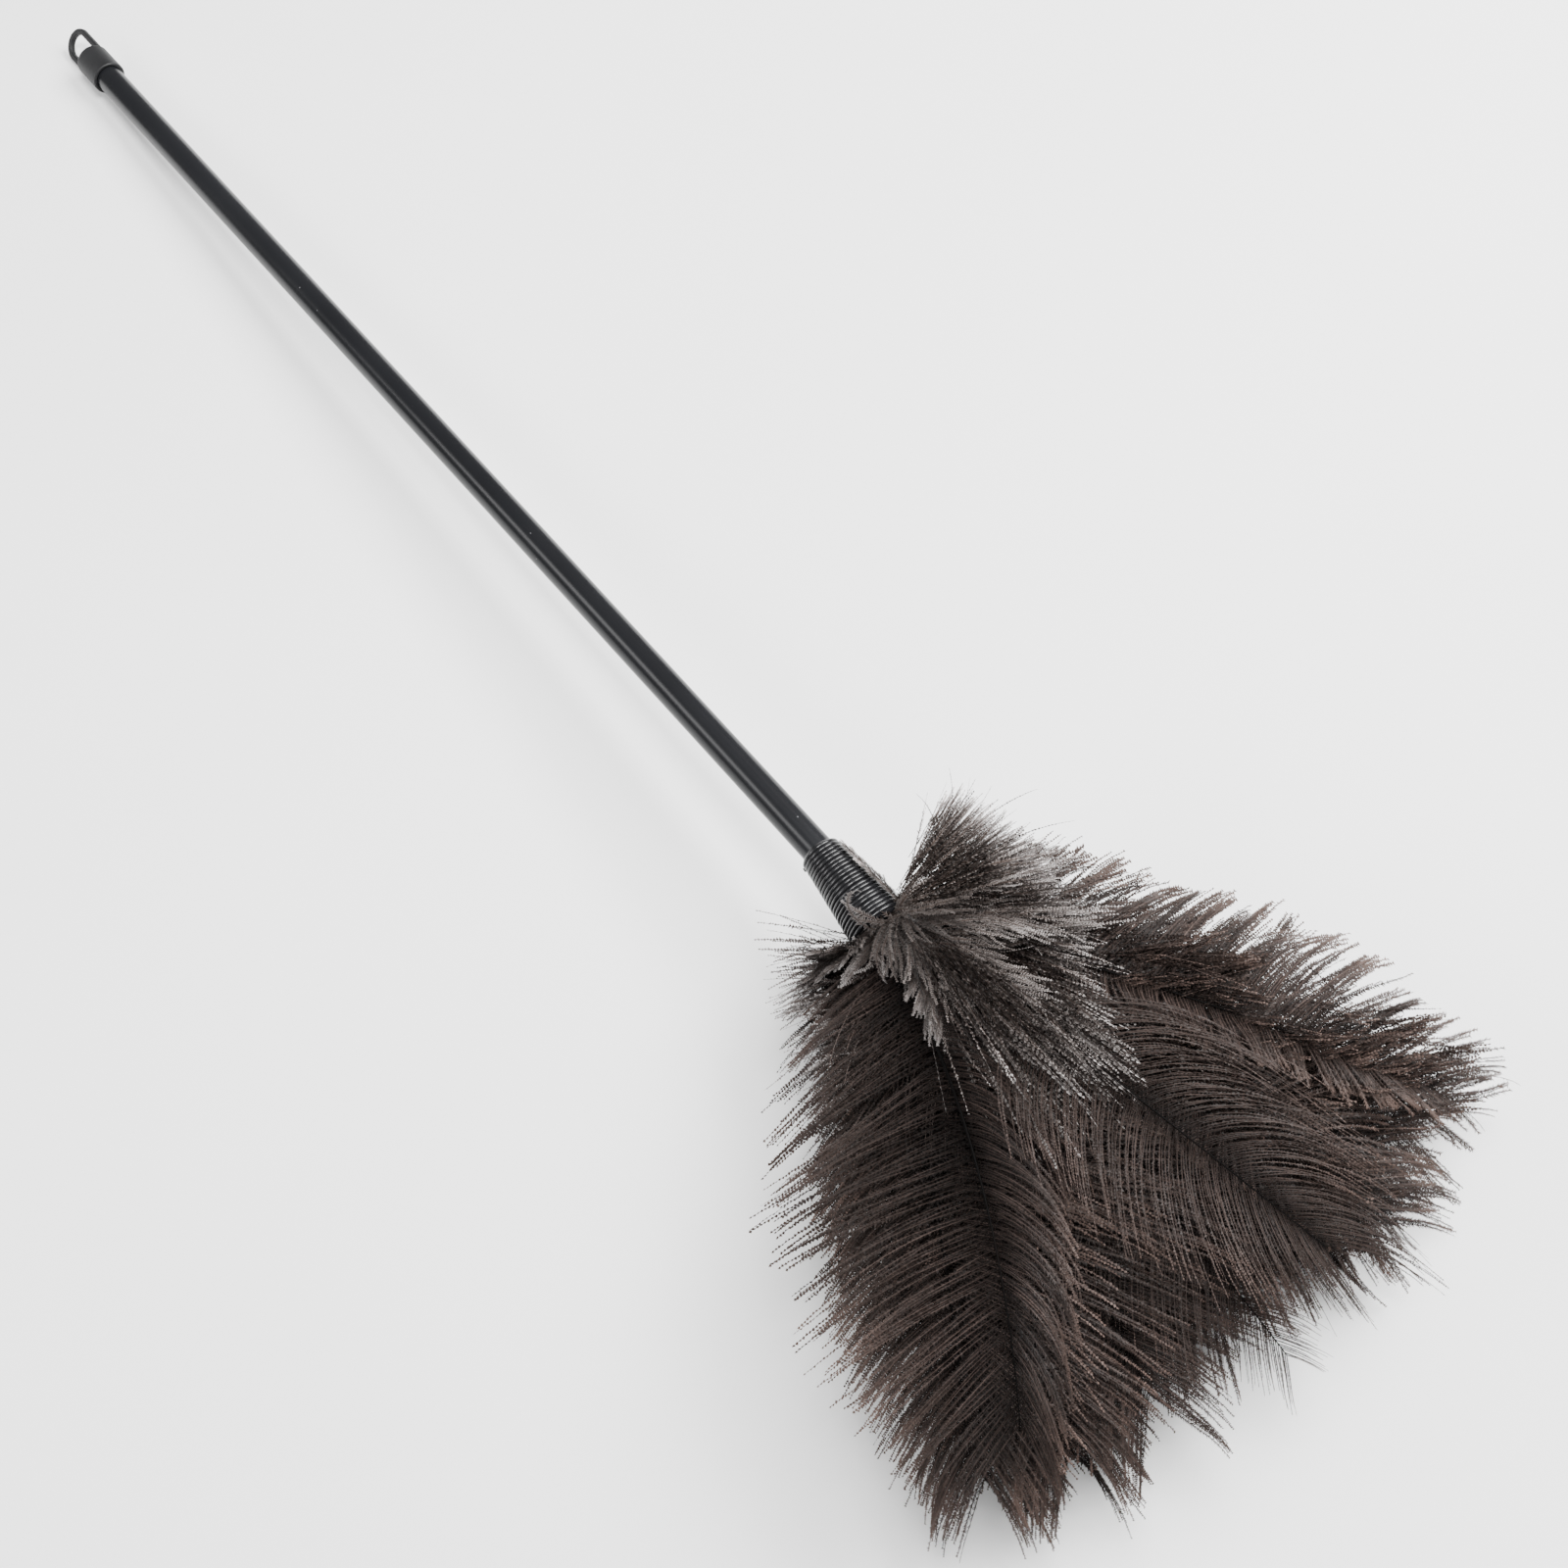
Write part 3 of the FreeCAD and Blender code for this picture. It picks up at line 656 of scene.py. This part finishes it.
def cap_plastic():
    nodes = Nodes("cap_plastic")
    cloud = nodes.spread(nodes.noise(60.0, 4.0), 0.3, 0.7, 0.0, 1.0)
    grain = nodes.noise(3200.0, 2.0)
    nodes.shade(
        Base_Color=nodes.mix(cloud, (0.007, 0.007, 0.0075), (0.012, 0.012, 0.013)),
        Roughness=nodes.spread(cloud, 0.0, 1.0, 0.48, 0.60),
        Specular_IOR_Level=0.28,
    )
    nodes.bump(grain, 0.30, 0.00012)
    return nodes.material


def coated_wire():
    nodes = Nodes("coated_wire")
    cloud = nodes.spread(nodes.noise(130.0, 3.0), 0.3, 0.7, 0.0, 1.0)
    scuffs = nodes.noise(900.0, 4.0, 0.7)
    nodes.shade(
        Base_Color=nodes.mix(cloud, (0.005, 0.005, 0.0055), (0.009, 0.009, 0.010)),
        Roughness=nodes.spread(scuffs, 0.3, 0.7, 0.16, 0.30),
        Specular_IOR_Level=0.35,
    )
    nodes.bump(scuffs, 0.15, 0.0001)
    return nodes.material


def plug_wood():
    nodes = Nodes("plug_wood")
    stretch = nodes.add("ShaderNodeMapping", {"Vector": nodes.place(), "Scale": (12.0, 260.0, 260.0)})
    grain = nodes.noise(1.0, 5.0, 0.6, stretch.outputs["Vector"])
    colour = nodes.ramp(grain, [(0.3, (0.30, 0.19, 0.10)), (0.7, (0.52, 0.37, 0.22))])
    nodes.shade(Base_Color=colour, Roughness=nodes.spread(grain, 0.3, 0.7, 0.6, 0.75))
    nodes.bump(grain, 0.3, 0.0003)
    return nodes.material


# Plumes.
# The plumes whose barbs show from above differ from the rest of their rows. "plus" and "minus"
# are for the barbs on one side of the rachis only.
COMBED = dict(spacing=0.00095, clump=0.10, wave=3.0, barbule=0.0013, barbule_angle=30.0,
              angle_jitter=1.5, shaft=0.00019, tip_fullness=0.4, tone=0.82, mottle=0.10)
BUSHY = dict(clump=0.80, clump_size=(6, 12), wave=10.0, barbule=0.0021, tip_fullness=0.8, lift=0.30,
             end_angle=(66.0, 56.0, 18.0), minus=dict(length=(0.3, 0.45, 0.45), clump=0.3))
# Middle plumes of the four lower rows end short of the uppermost ones.
UNDER = dict(rachis_end=0.85, length=(0.5, 1.2, 0.35))
COVERED_ROWS = 4
COVERED_HEADING = 11
# The outer side of each row's outermost plumes: short barbs at the -Y edge, long ones at +Y.
EDGE_MINUS = dict(length=(0.45, 0.95, 0.6))
EDGE_PLUS = dict(length=(1.15, 1.3, 0.7), end_angle=(70.0, 58.0, 14.0))
SHAPES = {
    "top_plume_1": dict(
        spacing=0.0011, tone=0.8,
        plus=dict(length=(0.6, 0.85, 0.6), start_angle=(74.0, 62.0, 30.0), end_angle=(24.0, 10.0, 4.0)),
        minus=dict(length=(0.7, 1.5, 0.8), start_angle=(90.0, 88.0, 40.0), end_angle=(90.0, 78.0, 20.0),
                   clump_size=(5, 12), clump=0.72, droop=0.35),
    ),
    "top_plume_2": dict(
        COMBED, first_barb=0.34, droop=0.34, lift=0.16,
        plus=dict(length=(1.2, 1.5, 0.85), start_angle=(82.0, 74.0, 34.0), end_angle=(8.0, 4.0, 0.0)),
        minus=dict(length=(1.45, 1.15, 0.5), start_angle=(86.0, 78.0, 34.0), end_angle=(48.0, 34.0, 6.0)),
    ),
    "upper_plume_4": dict(COMBED, spacing=0.0013, barbule=0.0009, rachis_end=0.98, droop=0.25,
                          end_angle=(46.0, 36.0, 26.0), length=(1.0, 1.15, 0.38)),
    "upper_plume_5": dict(BUSHY, plus=dict(length=(1.3, 1.35, 0.75))),
    "upper_plume_6": dict(BUSHY, plus=dict(length=(1.2, 1.15, 0.7))),
    "core_plume_6": BUSHY,
    "core_plume_7": BUSHY,
}


def plume_style(node, row, number, headings):
    """The style of one long plume, from its place in the head."""
    style = dict(BROWN)
    if row < COVERED_ROWS and abs(headings[number]) < COVERED_HEADING:
        style.update(UNDER)
    if number == 0:
        style["minus"] = EDGE_MINUS
    elif number == len(headings) - 1:
        style["plus"] = EDGE_PLUS
    style.update(SHAPES.get(node, {}))
    return style


def make_plumes():
    for row, (name, height, row_length, root_slope, tip_slope, tilt, bend, headings) in enumerate(PLUME_ROWS):
        level = height / 1000
        reach = math.sqrt(BUNDLE_RADIUS ** 2 - level ** 2)
        for number, heading in enumerate(headings):
            share = 2 * number / (len(headings) - 1) - 1
            root = binding_end + np.array([0.0, share * reach, level])
            length = row_length / 1000 * (1 + LENGTH_SKEW * heading)
            ends = (heading, heading + bend * share)
            line = rachis_line(root, length, ends, (root_slope, tip_slope))
            node = f"{name}_{number + 1}"
            style = plume_style(node, row, number, headings)
            face = math.radians(90 - tilt * share)
            seed = 100 * (row + 1) + number
            piece = feather(f"{node}_barbs", line, face, PLUME_HALF_WIDTH, style, brown_plume, seed,
                            quill_grip(root))
            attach(piece, "root")
            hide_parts(node)


def make_collar():
    for number, length in enumerate(COLLAR_LENGTHS):
        around = 2 * math.pi * number / len(COLLAR_LENGTHS)
        outward = np.array([0.0, math.cos(around), math.sin(around)])
        root = binding_end + outward * COLLAR_RING_RADIUS
        heading = COLLAR_HEADING * outward[1] + COLLAR_LEAN
        headings = (heading, heading + COLLAR_HEADING_BEND * outward[1])
        rising = outward[2] >= 0
        slopes = (22.0 + 20.0 * outward[2], -6.0) if rising else (30.0 * outward[2], 0.0)
        line = rachis_line(root, length / 1000, headings, slopes)
        pole = (0.5 if rising else 1.5) * math.pi
        face = pole + COLLAR_FLATTENING * (around - pole)
        half_width = COLLAR_HALF_WIDTH * min(length / COLLAR_FULL_WIDTH_FROM, 1.0)
        style = dict(GREY)
        uppermost = outward[2] > 0.99
        if uppermost:
            style["minus"] = dict(length=(0.2, 0.45, 0.5))
        elif rising and outward[1] < 0:
            style.update(tone=0.85, length=(0.6, 0.9, 0.7))
        piece = feather(f"collar_plume_{number + 1}_barbs", line, face, half_width, style,
                        grey_down, 900 + number, quill_grip(root), 0.0006)
        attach(piece, "root")
        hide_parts(f"collar_plume_{number + 1}")


def make_neck_plume():
    around = math.radians(40.0)
    taper = math.tan(BINDING_TAPER)
    outward = np.array([0.0, math.cos(around), math.sin(around)])
    wide_end = TUBE_RADIUS + 2 * WIRE_RADIUS + binding_length * taper
    root = binding_end + outward * (wide_end + 0.0012)
    backward = -unit(head_direction + outward * taper)
    step = NECK_PLUME_LENGTH / RACHIS_STEPS
    points = np.array([root + backward * step * number for number in range(RACHIS_STEPS + 1)])
    line = (points, np.repeat(backward[None], len(points), 0))
    style = dict(GREY, teeth=18, barbule=0.0012, droop=0.0, lift=0.0, spacing=0.0007, rachis_end=0.9,
                 start_angle=(50.0, 42.0, 24.0), end_angle=(24.0, 16.0, 6.0), length=(0.55, 0.75, 0.5),
                 tone=1.5, rachis_shade=0.9)
    piece = feather("neck_plume_barbs", line, around, 0.0085, style, grey_down, 990, 0.0, 0.0003)
    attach(piece, "root")
    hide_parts("neck_plume")


# Loose down and hairs about the neck.
PLUME_MATERIALS = {"brown_plume": brown_plume, "grey_down": grey_down}
# How far the down of the collar reaches from the neck, in metres, by heading in degrees.
FAN_HEADINGS = (-14.0, -6.0, 5.0, 13.0, 25.0, 45.0, 90.0)
FAN_REACH = (0.092, 0.116, 0.115, 0.106, 0.091, 0.074, 0.057)
# Height of the uppermost plumes over the neck, by distance from it, in metres.
SHOULDER_REACH = (0.0, 0.045, 0.088, 0.133, 0.177, 0.218)
SHOULDER_HEIGHT = (0.004, 0.020, 0.030, 0.030, 0.022, 0.008)


def loose_barbs(name, roots, directions, towards, bends, lengths, style, slot, seed):
    """Free barbs, each from its own root. bends are the angles, in radians, that the barbs turn
    through on their way from their own direction to the one that they curl towards."""
    rng = np.random.default_rng(seed)
    steps = style["teeth"]
    count = len(roots)
    u = np.linspace(0, 1, steps + 1)[None, :, None]
    directions = unit(directions)
    curl = unit(towards - directions * np.sum(towards * directions, axis=1, keepdims=True))
    angle = bends[:, None, None] * u
    heading = directions[:, None] * np.cos(angle) + curl[:, None] * np.sin(angle)
    step = heading[:, :-1] * (lengths / steps)[:, None, None]
    path = roots[:, None] + np.concatenate([np.zeros((count, 1, 3)), np.cumsum(step, axis=1)], axis=1)
    normal = unit(np.cross(directions, curl))
    place = rng.uniform(0.5, 1.0, count)
    tone = style["tone"] * np.clip(rng.normal(1.0, style["mottle"], count), *TONE_RANGE)
    vertices, faces, colours, plans, barbule_faces = barb_arrays(
        above_surface(path, BARB_GAP), place, tone, normal, style, 1, rng)
    block = np.vstack(faces)
    piece = build_mesh(name, np.vstack(vertices), block, PLUME_MATERIALS[slot], np.vstack(colours),
                       np.vstack(plans), np.arange(len(block)) >= barbule_faces)
    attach(piece, "root")


def compass(heading, rise):
    """Unit vectors from headings about +Z and angles above the horizontal, in degrees."""
    heading, rise = np.broadcast_arrays(np.radians(heading), np.radians(rise))
    return np.stack([np.cos(rise) * np.cos(heading), np.cos(rise) * np.sin(heading), np.sin(rise)], -1)


def make_neck_curls(rng):
    """Curled plumes over the end of the binding."""
    count = 13
    roots = binding_end + compass(rng.uniform(-60, 40, count), 0.0) * 0.006
    roots = roots + UP * rng.uniform(0.009, 0.014, (count, 1))
    headings = np.linspace(-150, 30, count) + rng.normal(0, 8, count)
    curled = dict(GREY, teeth=34, barbule=0.0024, barbule_angle=54.0, tip_fullness=0.3, tone=0.75)
    loose_barbs("neck_curls", roots, compass(headings, rng.uniform(5, 40, count)),
                compass(headings - 90, rng.uniform(-60, 0, count)), rng.uniform(0.8, 3.6, count),
                rng.uniform(0.016, 0.034, count), curled, "grey_down", 42)


def make_neck_fluff(rng):
    """Pale fluff between the binding and the collar on the +Y side."""
    count = 60
    roots = binding_end + compass(rng.uniform(60, 110, count), rng.uniform(0, 60, count)) * 0.010
    headings = rng.uniform(40, 130, count)
    fluff = dict(GREY, teeth=20, barbule=0.0022, tone=1.6, shaft=0.00008)
    loose_barbs("neck_fluff", roots, compass(headings, rng.uniform(10, 60, count)),
                compass(headings - 60, -20.0), rng.uniform(0.2, 1.2, count),
                rng.uniform(0.010, 0.026, count), fluff, "grey_down", 43)


def make_stray_hairs(rng):
    """Stray hairs that stand out of the collar."""
    count = 70
    headings = rng.uniform(15, 105, count)
    roots = binding_end + compass(headings, 18.0) * rng.uniform(0.020, 0.05, (count, 1)) + UP * 0.008
    hair = dict(GREY, teeth=26, barbule=0.0006, shaft=0.00009, tone=0.8)
    turned = headings + rng.normal(0, 16, count)
    loose_barbs("stray_hairs", roots, compass(turned, rng.uniform(10, 45, count)),
                compass(headings + 90, 0.0), rng.normal(0, 0.5, count),
                rng.uniform(0.018, 0.040, count), hair, "grey_down", 44)


def make_hanging_tuft(rng):
    """Brown tuft that hangs from the collar between the two uppermost plumes."""
    count = 34
    middle = binding_end + compass(-7.0, 0.0) * 0.092 + UP * 0.050
    roots = middle + rng.normal(0, 0.004, (count, 3))
    roots = roots + compass(-28.0, 0.0) * rng.uniform(0, 0.020, (count, 1))
    headings = rng.normal(-28, 10, count)
    tuft = dict(GREY, teeth=34, barbule=0.0017, barbule_angle=30.0, tip_fullness=0.5, tone=1.2)
    loose_barbs("hanging_tuft", roots, compass(headings, rng.uniform(-5, 20, count)),
                compass(headings, -80.0), rng.uniform(0.2, 0.8, count),
                rng.uniform(0.026, 0.044, count), tuft, "brown_plume", 45)


def make_loose_down():
    rng = np.random.default_rng(41)
    make_neck_curls(rng)
    make_neck_fluff(rng)
    make_stray_hairs(rng)
    make_hanging_tuft(rng)


def make_side_down():
    """Down on the -Y side, from the neck and the first part of the uppermost plume there."""
    rng = np.random.default_rng(71)
    count = 260
    reach = rng.uniform(0.0, 0.070, count)
    roots = binding_end + compass(-20.0, 0.0) * reach[:, None] + compass(-110.0, 0.0) * 0.007
    below_top = rng.uniform(0, 0.022, count)
    roots[:, 2] += np.interp(reach, SHOULDER_REACH, SHOULDER_HEIGHT) - 0.004 - below_top
    neck_heading, turn_per_metre = -132, 500
    headings = neck_heading + reach * turn_per_metre + rng.normal(0, 13, count)
    down = dict(GREY, teeth=36, barbule=0.0018, tone=1.05, mottle=0.34)
    loose_barbs("side_down", roots, compass(headings, rng.uniform(-12, 16, count)),
                compass(headings, -80.0), rng.uniform(0.1, 0.7, count),
                rng.uniform(0.026, 0.044, count), down, "grey_down", 72)


def make_collar_fan():
    """Long down that fans out over the collar, up to an even pale edge."""
    rng = np.random.default_rng(51)
    count = 900
    first_heading, spread = -14, 124
    headings = first_heading + spread * rng.uniform(0, 1, count) ** 0.9
    edge = np.interp(headings, FAN_HEADINGS, FAN_REACH) * rng.normal(1.0, 0.05, count)
    start = edge * rng.uniform(0.2, 0.74, count)
    roots = binding_end + compass(headings + rng.normal(0, 4, count), 24.0) * start[:, None]
    over_plumes = 0.018 * smooth((24 - headings) / 24)
    roots[:, 2] += rng.uniform(0.004, 0.012, count) + over_plumes
    tones = np.interp(headings, (30, 75), (1.12, 1.8))
    fan = dict(GREY, teeth=34, barbule=0.0016, mottle=0.34, tone=tones)
    turned = headings + rng.normal(0, 8, count)
    loose_barbs("collar_fan", roots, compass(turned, rng.uniform(0, 26, count)),
                compass(headings, -80.0), rng.uniform(0.05, 0.45, count), edge - start, fan,
                "grey_down", 52)


def make_shoulder_tufts():
    """Tufts of barbs that stand up from the plumes of the +Y side, with their tips together."""
    rng = np.random.default_rng(61)
    tufts = 64
    each = 14

    def for_barbs(values):
        return np.repeat(values, each)

    headings = for_barbs(rng.uniform(9, 36, tufts))
    reach = for_barbs(rng.uniform(0.070, 0.195, tufts))
    base = binding_end + compass(headings, 0.0) * reach[:, None]
    base[:, 2] += np.interp(reach, SHOULDER_REACH, SHOULDER_HEIGHT)
    turned = headings + for_barbs(rng.normal(30, 12, tufts))
    aim = compass(turned, for_barbs(rng.uniform(4, 16, tufts)))
    tips = base + aim * for_barbs(rng.uniform(0.024, 0.040, tufts))[:, None]
    across = compass(turned - 90, 0.0)
    roots = base + across * rng.normal(0, 0.0055, (tufts * each, 1))
    roots = roots + aim * rng.normal(0, 0.004, (tufts * each, 1))
    roots[:, 2] -= 0.006
    tips = tips + rng.normal(0, 0.0014, roots.shape)
    way = tips - roots
    lengths = np.linalg.norm(way, axis=1) * rng.uniform(0.85, 1.08, len(way))
    style = dict(BROWN, teeth=30, barbule=0.0015, tip_fullness=0.7)
    loose_barbs("shoulder_tufts", roots, way + UP * 0.003, compass(headings, -60.0),
                rng.uniform(0.1, 0.4, len(way)), lengths, style, "brown_plume", 62)


# Binding.
def wire_line():
    """The middle of the wound wire, from its cut end to the last turn."""
    rng = np.random.default_rng(7)
    left = unit(np.cross(UP, head_direction))
    up = np.cross(head_direction, left)
    turns = BINDING_TURNS - 1
    count = turns * POINTS_PER_TURN + 1
    turn = np.linspace(0, turns, count)
    phase = 2 * math.pi * turn + math.radians(250)
    height = WIRE_RADIUS + turn * (binding_length - 2 * WIRE_RADIUS) / turns
    height = height + 0.00010 * np.sin(phase * 1.03 + 0.5) + 0.00006 * np.sin(phase * 0.37)
    radius = TUBE_RADIUS + WIRE_RADIUS / math.cos(BINDING_TAPER) + height * math.tan(BINDING_TAPER)
    radius = radius + 0.00007 * np.sin(phase * 0.61 + 1.0) + rng.normal(0, 0.000008, count)
    path = (
        binding_start
        + head_direction * height[:, None]
        + left * (radius * np.cos(phase))[:, None]
        + up * (radius * np.sin(phase))[:, None]
    )
    # The cut end stands a little off the first turn.
    outward = unit(path[0] - binding_start - head_direction * height[0])
    backward = unit(path[0] - path[1])
    tail = [path[0] + backward * reach + outward * reach ** 2 * 90.0 for reach in (0.0045, 0.003, 0.0015)]
    return np.vstack([tail, path])


def make_binding():
    """The coated wire, wound turn by turn, with a core that closes the gaps between the turns."""
    path = wire_line()
    vertices, faces = tube_arrays(path, np.full(len(path), WIRE_RADIUS * 1.02), 12)
    wire = build_mesh("binding_wire", vertices, faces, wire_material, smooth_faces=np.ones(len(faces), bool))
    core_height = np.linspace(0.0004, binding_length - 0.0004, 24)
    core_radius = TUBE_RADIUS + 0.0007 + core_height * math.tan(BINDING_TAPER)
    core_path = binding_start + head_direction * core_height[:, None]
    vertices, faces = tube_arrays(core_path, core_radius, 48)
    core = build_mesh("binding_core", vertices, faces, wire_material, smooth_faces=np.ones(len(faces), bool))
    for piece in (wire, core):
        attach(piece, "root")
    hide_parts("outer_binding")


wire_material = coated_wire()
make_plumes()
make_collar()
make_neck_plume()
make_loose_down()
make_collar_fan()
make_side_down()
make_shoulder_tufts()
make_binding()
finishes = {"handle_tube": black_paint(), "hanging_cap": cap_plastic(), "tube_plug": plug_wood()}
for node, material in finishes.items():
    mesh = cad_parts[node].data
    mesh.materials.clear()
    mesh.materials.append(material)


# Stage.
FLOOR_REACH = 6
# Name, place, point faced, size and power in watts.
LAMPS = [
    ("key", (0.3, 1.1, 1.3), (0.1, 0.0, 0.05), (1.2, 0.9), 84.0),
    ("fill", (-0.4, -1.2, 1.0), (0.1, 0.0, 0.05), (1.6, 0.5), 22.0),
    ("top", (0.1, 0.1, 1.9), (0.1, 0.0, 0.0), (0.7, 0.7), 52.0),
]
WORLD_STRENGTH = 0.38
CAMERA_FROM_BINDING = np.array([0.26393, -0.22716, 0.77003])
CAMERA_TILT = math.radians(26.07)
CAMERA_HEADING = math.radians(51.47)
FOCAL_LENGTH_MM = 50.0


def make_stage():
    mesh = bpy.data.meshes.new("surface")
    corners = [(x * FLOOR_REACH, y * FLOOR_REACH, 0) for x, y in ((-1, -1), (1, -1), (1, 1), (-1, 1))]
    mesh.from_pydata(corners, [], [(0, 1, 2, 3)])
    nodes = Nodes("surface_paper")
    tint = nodes.ramp(nodes.noise(3.0), [(0.3, (0.86, 0.86, 0.86)), (0.7, (0.90, 0.90, 0.90))])
    nodes.shade(Base_Color=tint, Roughness=0.9)
    mesh.materials.append(nodes.material)
    floor = bpy.data.objects.new("surface", mesh)
    bpy.context.scene.collection.objects.link(floor)


def area_light(name, location, target, size, power):
    light = bpy.data.lights.new(name, "AREA")
    light.shape = "RECTANGLE"
    light.size, light.size_y = size
    light.energy = power
    lamp = bpy.data.objects.new(name, light)
    lamp.location = location
    lamp.rotation_euler = (Vector(target) - Vector(location)).to_track_quat("-Z", "Y").to_euler()
    bpy.context.scene.collection.objects.link(lamp)


make_stage()
for lamp in LAMPS:
    area_light(*lamp)
world = bpy.data.worlds.new("studio")
world.use_nodes = True
background = world.node_tree.nodes["Background"]
background.inputs["Color"].default_value = (1.0, 1.0, 1.0, 1.0)
background.inputs["Strength"].default_value = WORLD_STRENGTH
bpy.context.scene.world = world

lens = bpy.data.cameras.new("camera")
lens.lens = FOCAL_LENGTH_MM
lens.sensor_width = 36.0
lens.clip_start = 0.01
camera = bpy.data.objects.new("camera", lens)
camera.location = binding_start + CAMERA_FROM_BINDING
camera.rotation_euler = Euler((CAMERA_TILT, 0.0, CAMERA_HEADING))
bpy.context.scene.collection.objects.link(camera)
bpy.context.scene.camera = camera
